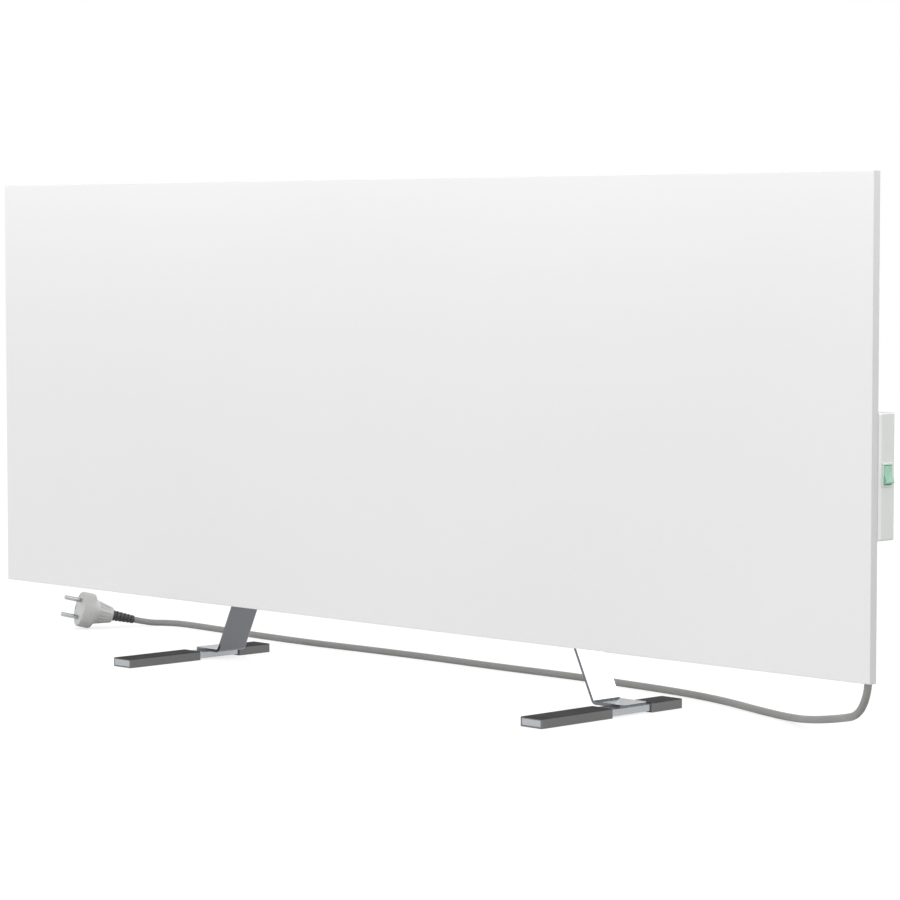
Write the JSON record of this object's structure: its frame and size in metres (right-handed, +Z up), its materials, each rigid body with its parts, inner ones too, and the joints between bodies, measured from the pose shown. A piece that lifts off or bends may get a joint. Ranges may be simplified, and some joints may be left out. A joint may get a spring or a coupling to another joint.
{
  "type": "panel heater",
  "caption": "Free-standing electric panel heater: thin flat white panel on splayed steel legs with sleeved feet, rear control box with a lit rocker switch, mains cord and plug",
  "frame": {"origin": "on the floor, under the middle of the panel and midway between the front and rear ends of the feet", "axes": "+X runs along the panel towards the control box, +Y from the front face to the back, +Z up"},
  "size_m": [1.199, 0.2677, 0.49],
  "materials": {
    "front_enamel": "smooth satin white powder coat",
    "rear_enamel": "satin white powder coat",
    "mica": "pressed mica sheet",
    "resistance_foil": "etched resistance foil",
    "reflector": "bright foil",
    "insulation": "pressed mineral fibre board",
    "zinc_steel": "zinc plated",
    "brass": "plain brass",
    "cutout_case": "moulded case",
    "polished_steel": "polished steel",
    "bare_steel": "brushed steel strip",
    "black_rubber": "matt black rubber",
    "box_base_plastic": "fine moulded texture, pale grey",
    "box_cover_plastic": "fine moulded texture, light grey",
    "block_plastic": "natural nylon",
    "switch_plastic": "smooth moulding, pale grey",
    "green_lens": "translucent green, lit",
    "lamp_glass": "small neon bulb",
    "cord_jacket": "smooth grey flex",
    "cord_boot": "moulded grey rubber",
    "live_sleeve": "brown wire insulation",
    "neutral_sleeve": "blue wire insulation",
    "earth_sleeve": "yellow-green wire insulation",
    "plug_plastic": "smooth pale grey moulding",
    "plug_boot": "moulded dark grey rubber",
    "plug_metal": "nickel plated"
  },
  "bodies": {
    "heater": {"box_backing_plate": "zinc_steel", "box_base_screws": "zinc_steel", "box_cover_screws": "zinc_steel", "control_box_base": "box_base_plastic", "control_box_cover": "box_cover_plastic", "cord_clamp": "block_plastic", "cord_clamp_screws": "zinc_steel", "cord_conductors": "earth_sleeve", "cord_strain_relief": "cord_boot", "cord_tail": "cord_jacket", "earth_lead": "earth_sleeve", "earth_lug": "brass", "earth_screw": "zinc_steel", "element_rivets": "brass", "foot_screws": "zinc_steel", "front_insulator": "mica", "front_panel": "front_enamel", "heating_element": "resistance_foil", "insulation_board": "insulation", "left_foot_core": "bare_steel", "left_front_foot_sleeve": "black_rubber", "left_leg_backing_plate": "zinc_steel", "left_leg_stem": "polished_steel", "left_rear_foot_sleeve": "black_rubber", "leg_screws": "zinc_steel", "live_strap": "brass", "neutral_lead": "neutral_sleeve", "neutral_strap": "brass", "plug_body": "plug_plastic", "plug_earth_contacts": "plug_metal", "plug_pins": "plug_metal", "plug_strain_relief": "plug_boot", "power_cord": "cord_jacket", "rear_insulator": "mica", "rear_panel": "rear_enamel", "rear_panel_screws": "zinc_steel", "reflector_foil": "reflector", "right_foot_core": "bare_steel", "right_front_foot_sleeve": "black_rubber", "right_leg_backing_plate": "zinc_steel", "right_leg_stem": "polished_steel", "right_rear_foot_sleeve": "black_rubber", "switch_housing": "switch_plastic", "switch_lamp": "lamp_glass", "switch_leads": "live_sleeve", "switch_terminals": "brass", "terminal_block": "block_plastic", "terminal_screws": "zinc_steel", "terminal_tubes": "brass", "thermal_cutout": "cutout_case", "wire_grommet": "black_rubber"},
    "rocker": {"switch_rocker": "green_lens", "rocker_plunger": "switch_plastic"},
    "lever": {"contact_lever": "brass"}
  },
  "joints": [
    {"name": "rocker_tilt", "type": "hinge", "parent": "heater", "child": "rocker", "pos_m": [0.5965, 0.0154, 0.2355], "axis": [0, 1, 0], "range_deg": [0, 24]},
    {"name": "lever_tilt", "type": "hinge", "parent": "heater", "child": "lever", "pos_m": [0.5893, 0.0154, 0.2355], "axis": [0, 1, 0], "range_deg": [-14, 0]}
  ],
  "couplings": [
    {"joint": "lever_tilt", "follows": "rocker_tilt", "ratio": -0.58333}
  ]
}
